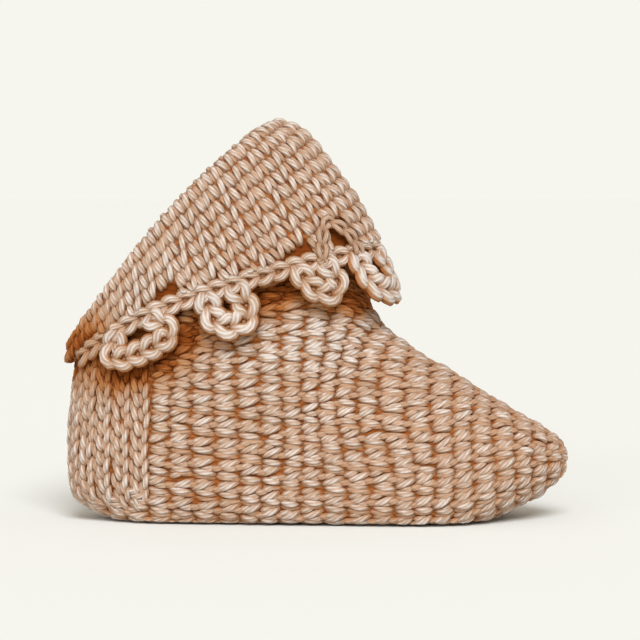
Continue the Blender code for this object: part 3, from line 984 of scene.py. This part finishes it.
def add_chain(strands, line, normals, bulk):
    """A chain along a line, which is first run on straight at both ends: at each link two strands part
    from a point, bow out to both sides and close under the next link, with a third behind them. They
    rise and swell by powers of the sine of half a turn, and open and close by smooth steps."""
    first = line[0] - CHAIN_TAIL * unit(line[1] - line[0])
    last = line[-1] + CHAIN_TAIL * unit(line[-1] - line[-2])
    line, normals = np.vstack([first, line, last]), np.vstack([normals[0], normals, normals[-1]])
    length = running_length(line) - CHAIN_TAIL
    links = max(int(round(length[-2] / CHAIN_LINK)), 2)
    t = np.linspace(LINK_FROM, LINK_TO, LINK_POINTS)
    at = (np.arange(links)[:, None] + t) * length[-2] / links
    centre = np.stack([np.interp(at, length, column) for column in line.T], axis=-1)
    normal = unit(np.stack([np.interp(at, length, column) for column in normals.T], axis=-1))
    lateral = unit(np.cross(normal, np.gradient(centre, axis=1)))
    run = np.linspace(0.0, 1.0, LINK_POINTS)
    arch = np.sin(np.pi * run)
    closing = LINK_CLOSE * smooth((run - LINK_CLOSE_FROM) / (1 - LINK_CLOSE_FROM))
    spread = bulk * (LINK_PART + LINK_OPEN * smooth(run / LINK_OPEN_OVER) - closing)
    swell = LINK_END + (1 - LINK_END) * arch**LINK_SWELL
    across, through = LINK_ACROSS * bulk * swell, LINK_THROUGH * bulk * swell
    rise = LINK_LOW + LINK_RISE * arch**LINK_RISE_POWER
    tint = random.normal(0.0, 1.0, links)
    # Painted shade: a share LINK_SHADED of SHADES lowers the chain's colour on the ramp
    tone = LINK_TONE + LINK_BULK_TONE * bulk - LINK_SHADED * soft_relief(centre, SHADES)
    for side in (-1.0, 1.0):
        path = centre + (side * spread)[:, None] * lateral + rise[:, None] * normal
        strands.add(path, normal, across, through, rise + tone, tint, LINK_STEEP, LINK_CORDS)
    across, through = BEHIND_ACROSS * bulk * swell, BEHIND_THROUGH * swell
    behind = centre + BEHIND_LOW * normal
    # Painted shade: the strand behind lies low on the colour ramp, at BEHIND_TONE
    strands.add(behind, normal, across, through, BEHIND_TONE, tint, 1.0, LINK_CORDS)


def make_edging(material):
    """The chain along the cuff's edge and the chains of its loops, both sides alike."""
    strands = Strands()
    edge = edge_lengths()
    along = np.linspace(HEADER_START, edge[1][-1] - HEADER_START, HEADER_POINTS)
    header = np.interp(along, edge[1], edge[0])
    add_chain(strands, *edging_line(header, 0.0, cuff_lift(header, 1.0)), HEADER_BULK)
    for loop, side in each_loop():
        line, normals = loop_line(edge, loop, side)
        if loop["drop"] > 0:
            add_chain(strands, line, normals, LOOP_BULK * np.sqrt(loop["drop"] / LOOP_DROP))
        else:
            add_chain(strands, line - EYE_SINK * normals, normals, EYE_BULK)
    return strands.make("edging_chain", material)


# Walls behind the stitches


def grid_faces(rows, columns, closed_rows=False):
    """Quads of a grid of points whose columns close round on themselves, and its rows too if asked."""
    index = np.arange(rows * columns).reshape(rows, columns)
    ahead = np.roll(index, -1, axis=1)
    if closed_rows:
        below, corner = np.roll(index, -1, axis=0), np.roll(ahead, -1, axis=0)
        return np.stack([index, ahead, corner, below], axis=-1).reshape(-1, 4)
    return np.stack([index[:-1], ahead[:-1], ahead[1:], index[1:]], axis=-1).reshape(-1, 4)


def wall_pattern(points, corners):
    """The walls' own map for the yarn's pattern: along and up, in shares of a millimetre."""
    return WALL_PATTERN * points[corners][:, [0, 2]]


def make_foot_wall(material):
    """The fabric behind the foot's stitches: a sheet just under them, turned in at the rim, and the
    lining, with the low bumps that the stitches' backs make, by sines of the lengths along and round.
    Both close in a fan at the toe."""
    rings, columns = FOOT_WALL_RINGS, FOOT_WALL_COLUMNS
    angle = np.arange(columns) * 2 * np.pi / columns
    outer_u = np.linspace(0.0, LAST_SECTION - FOOT_WALL_TIP, rings)[:, None]
    point, normal, _ = foot_frame(np.broadcast_to(outer_u, (rings, columns)), angle)
    outer = point + (soft_relief(point, FOOT_RELIEF) - FOOT_WALL_SINK)[..., None] * normal
    outer[..., 2] = np.maximum(outer[..., 2], WALL_CLEAR)
    inner_u = np.linspace(LAST_SECTION - LINING_TIP, 0.0, rings)[:, None]
    point, normal, _ = foot_frame(np.broadcast_to(inner_u, (rings, columns)), angle)
    girth = running_length(np.concatenate([point, point[:, :1]], axis=1))[:, :-1]
    bump = np.abs(np.sin(np.pi * point[..., 0] / FOOT_ROW))
    bump = bump * (1 - LINING_UNEVEN + LINING_UNEVEN * np.cos(2 * np.pi * girth / FOOT_STITCH))
    inner = point - (LINING_SINK + LINING_BUMP * (bump - 0.5))[..., None] * normal
    tip = [outer[-1].mean(axis=0), inner[0].mean(axis=0)]
    sheet = np.concatenate([inner, outer])
    points = np.concatenate([sheet.reshape(-1, 3), tip])
    quads = grid_faces(2 * rings, columns)
    first, last = np.arange(columns), np.arange(columns) + (2 * rings - 1) * columns
    tips = np.full(columns, len(points) - 2)
    caps = np.concatenate([
        np.stack([last, np.roll(last, -1), tips], axis=-1),
        np.stack([np.roll(first, -1), first, tips + 1], axis=-1),
    ])
    # Painted shade: the outer sheet sits low on the colour ramp, and the lining's hollows lower than its
    # bumps
    crest = np.full(len(points), FOOT_WALL_TONE)
    crest[: bump.size] = LINING_TONE + LINING_BUMP_TONE * bump.ravel()
    uv = wall_pattern(points, np.concatenate([quads.ravel(), caps.ravel()]))
    return add_mesh("foot_wall", points, [quads, caps], uv, crest, np.zeros(len(points)), material)


def make_cuff_wall(material):
    """The fabric behind the cuff's stitches: a sheet just under them from the inner leg over the
    roll to the hem, turned under and back up the flap's hidden side."""
    rows, columns = CUFF_WALL_ROWS, CUFF_WALL_COLUMNS
    angle = np.arange(columns)[None, :] * 2 * np.pi / columns
    _, _, flap_start, hem = cuff_outline(angle)
    low = -flap_start - ROLL_RISE
    over = low + np.linspace(0.0, 1.0, rows)[:, None] * (hem - low)
    lift = cuff_relief(angle, over) - CUFF_WALL_SINK
    eyes = in_eyes(cuff_point(angle, over, lift), EYE_GROW)
    outer = cuff_point(angle, over, lift - EYE_DEPTH * eyes)
    under = cuff_point(angle, over, -CUFF_WALL)[::-1]
    points = np.concatenate([outer, under]).reshape(-1, 3)
    quads = grid_faces(2 * rows, columns, closed_rows=True)[:, ::-1]
    # Painted shade: the outer sheet sits low on the colour ramp, and lower still in the openings by EYE_SHADE
    crest = np.full(len(points), CUFF_UNDER_TONE)
    crest[: eyes.size] = CUFF_WALL_TONE - EYE_SHADE * eyes.ravel()
    uv = wall_pattern(points, quads.ravel())
    return add_mesh("cuff_wall", points, [quads], uv, crest, np.zeros(len(points)), material)


# Materials


def linear(hex_colour):
    """A six-figure sRGB colour as linear light."""
    parts = np.array([int(hex_colour[i : i + 2], 16) for i in (1, 3, 5)]) / 255
    light = np.where(parts <= 0.04045, parts / 12.92, ((parts + 0.055) / 1.055) ** 2.4)
    return (*light, 1.0)


def node(tree, kind, settings=None, inputs=None):
    """Adds a node with its settings. Each input, by name or number, is linked if it is given another
    node's output, and otherwise set to the value given."""
    added = tree.nodes.new(kind)
    for name, value in (settings or {}).items():
        setattr(added, name, value)
    for name, value in (inputs or {}).items():
        if isinstance(value, bpy.types.NodeSocket):
            tree.links.new(value, added.inputs[name])
        else:
            added.inputs[name].default_value = value
    return added


def make_yarn(name):
    """Soft wool yarn of a few plies, spun, twisted and crocheted by hand. To the eye it is matt and a
    little fuzzy. The colour is read off a ramp by height: what stands proud gets a painted highlight,
    and it darkens to rust down in the crevices between strands as painted shade, with fine streaks of
    painted shade in the grooves where its plies turn. The plies are drawn coarser than real ones, to show."""
    material = bpy.data.materials.new(name)
    material.use_nodes = True
    tree = material.node_tree
    tree.nodes.clear()
    position = node(tree, "ShaderNodeTexCoord").outputs["Object"]
    crest = node(tree, "ShaderNodeAttribute", {"attribute_name": "crest"}).outputs["Fac"]
    uv = node(tree, "ShaderNodeUVMap", {"uv_map": "yarn"}).outputs["UV"]
    split = node(tree, "ShaderNodeSeparateXYZ", None, {"Vector": uv})
    along = node(tree, "ShaderNodeMath", {"operation": "MULTIPLY"}, {
        0: split.outputs["X"], 1: 2 * np.pi / PLY_PITCH,
    })
    spiral = node(tree, "ShaderNodeMath", {"operation": "MULTIPLY_ADD"}, {
        0: split.outputs["Y"], 1: 2 * np.pi * PLIES, 2: along.outputs["Value"],
    })
    ply = node(tree, "ShaderNodeMath", {"operation": "SINE"}, {0: spiral.outputs["Value"]})
    # Painted shade in the grooves between plies
    grooved = node(tree, "ShaderNodeMath", {"operation": "MULTIPLY_ADD"}, {
        0: ply.outputs["Value"], 1: PLY_SHADE, 2: crest,
    })
    cloud = node(tree, "ShaderNodeTexNoise", None, {
        "Vector": position, "Scale": 1 / (CLOUD_SIZE * MM), "Detail": 2.0,
    })
    uneven = node(tree, "ShaderNodeMath", {"operation": "MULTIPLY_ADD"}, {
        0: cloud.outputs["Fac"], 1: 2 * UNEVEN, 2: grooved.outputs["Value"],
    })
    # Painted shade and painted highlight: the ramp turns height over the face into colour, dark low and pale
    # high
    reach = node(tree, "ShaderNodeMapRange", None, {
        "Value": uneven.outputs["Value"], "From Min": RAMP_LOW + UNEVEN, "From Max": RAMP_HIGH + UNEVEN,
    })
    ramp = node(tree, "ShaderNodeValToRGB", None, {"Fac": reach.outputs["Result"]})
    points = ramp.color_ramp.elements
    while len(points) < len(YARN_STOPS):
        points.new(0.5)
    for point, (place, colour) in zip(points, YARN_STOPS):
        point.position, point.color = place, linear(colour)
    tint = node(tree, "ShaderNodeAttribute", {"attribute_name": "tint"}).outputs["Fac"]
    shade = node(tree, "ShaderNodeMapRange", None, {
        "Value": tint, "From Min": -TINT_REACH, "From Max": TINT_REACH,
        "To Min": TINT_DARK, "To Max": TINT_PALE,
    })
    colour = node(tree, "ShaderNodeHueSaturation", None, {
        "Color": ramp.outputs["Color"], "Value": shade.outputs["Result"],
    })
    twist = node(tree, "ShaderNodeBump", None, {
        "Strength": 0.5, "Distance": 0.3 * MM, "Height": ply.outputs["Value"],
    })
    fuzz = node(tree, "ShaderNodeTexNoise", None, {
        "Vector": position, "Scale": 1 / (FUZZ_SIZE * MM), "Detail": 3.0,
    })
    rough = node(tree, "ShaderNodeBump", None, {
        "Strength": 0.5, "Distance": 0.3 * MM, "Height": fuzz.outputs["Fac"],
        "Normal": twist.outputs["Normal"],
    })
    shader = node(tree, "ShaderNodeBsdfPrincipled", None, {
        "Base Color": colour.outputs["Color"], "Normal": rough.outputs["Normal"], "Roughness": 0.92,
        "Specular IOR Level": 0.05,
    })
    node(tree, "ShaderNodeOutputMaterial", None, {"Surface": shader.outputs["BSDF"]})
    return material


def make_floor():
    """A plain pale studio floor of matt paper, pressed smooth: even and without gloss, with a faint
    grain."""
    material = bpy.data.materials.new("matt_paper")
    material.use_nodes = True
    tree = material.node_tree
    tree.nodes.clear()
    position = node(tree, "ShaderNodeTexCoord").outputs["Object"]
    grain = node(tree, "ShaderNodeTexNoise", None, {"Vector": position, "Scale": 1 / (PAPER_GRAIN * MM)})
    bump = node(tree, "ShaderNodeBump", None, {
        "Strength": 0.05, "Distance": 0.2 * MM, "Height": grain.outputs["Fac"],
    })
    shader = node(tree, "ShaderNodeBsdfPrincipled", None, {
        "Base Color": linear("#ECF2F2"), "Normal": bump.outputs["Normal"], "Roughness": 0.95,
    })
    node(tree, "ShaderNodeOutputMaterial", None, {"Surface": shader.outputs["BSDF"]})
    mesh = bpy.data.meshes.new("floor")
    corners = np.array([(-1, -1, 0), (1, -1, 0), (1, 1, 0), (-1, 1, 0)]) * FLOOR_SIZE / 2
    mesh.from_pydata(corners, [], [(0, 1, 2, 3)])
    mesh.materials.append(material)
    floor = bpy.data.objects.new("floor", mesh)
    bpy.context.scene.collection.objects.link(floor)


def make_light():
    """Soft studio light: a slightly warm room all round, a broad key from above and in front, a little
    to the camera's right, and a softer fill from low on the camera's left. The camera sees the room as a
    plain pale backdrop, brighter and more neutral than the light it gives."""
    world = bpy.data.worlds.new("studio")
    world.use_nodes = True
    tree = world.node_tree
    seen = node(tree, "ShaderNodeLightPath").outputs["Is Camera Ray"]
    glow = node(tree, "ShaderNodeMapRange", None, {"Value": seen, "To Min": 0.5, "To Max": 1.0})
    wall = node(tree, "ShaderNodeMix", {"data_type": "RGBA"}, {
        0: seen, 6: linear("#FFF0DF"), 7: linear("#F6F6EE"),
    })
    background = tree.nodes["Background"]
    tree.links.new(wall.outputs[2], background.inputs["Color"])
    tree.links.new(glow.outputs["Result"], background.inputs["Strength"])
    bpy.context.scene.world = world
    for name, energy, spread, aim in (
        ("key", 2.5, 30.0, Vector((-0.12, 0.9, -0.85))),
        ("fill", 1.1, 60.0, Vector((0.4, 1.0, -0.15))),
    ):
        lamp = bpy.data.lights.new(name, "SUN")
        lamp.energy, lamp.angle = energy, np.radians(spread)
        thing = bpy.data.objects.new(name, lamp)
        thing.rotation_euler = aim.to_track_quat("-Z", "Y").to_euler()
        bpy.context.scene.collection.objects.link(thing)
    bpy.context.scene.view_settings.view_transform = "Standard"


def make_camera():
    """A long lens on the slipper's right side, a little above its middle and looking slightly down, as
    in the photograph."""
    elevation, distance, lens = np.radians(3.0), 1.23, 150.0
    aim = Vector((0.0, 0.0, (cad_low[2] + cad_high[2]) / 2))
    data = bpy.data.cameras.new("camera")
    data.lens, data.sensor_width = lens, 36.0
    camera = bpy.data.objects.new("camera", data)
    away = Vector((0.0, -np.cos(elevation), np.sin(elevation)))
    camera.location = aim + away * distance
    camera.rotation_euler = (-away).to_track_quat("-Z", "Y").to_euler()
    bpy.context.scene.collection.objects.link(camera)
    bpy.context.scene.camera = camera


make_camera()
make_light()
make_floor()
foot_yarn = make_yarn("foot_wool_yarn")
cuff_yarn = make_yarn("cuff_wool_yarn")
edging_yarn = make_yarn("edging_wool_yarn")
foot_map, heel_map, cuff_map = foot_chart(), heel_chart(), cuff_chart()
PIECES = (
    (make_foot_wall(foot_yarn), "upper_and_sole", "foot_yarn"),
    *((piece, "upper_and_sole", "foot_yarn") for piece in make_foot_stitches(foot_map, foot_yarn)),
    (make_heel_stitches(heel_map, foot_yarn), "upper_and_sole", "foot_yarn"),
    (make_cuff_wall(cuff_yarn), "cuff", "cuff_yarn"),
    (make_cuff_stitches(cuff_map, cuff_yarn), "cuff", "cuff_yarn"),
    (make_edging(edging_yarn), "loop_edging", "edging_yarn"),
)
for piece, solid, slot in PIECES:
    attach(piece, "root")
    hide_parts(solid)
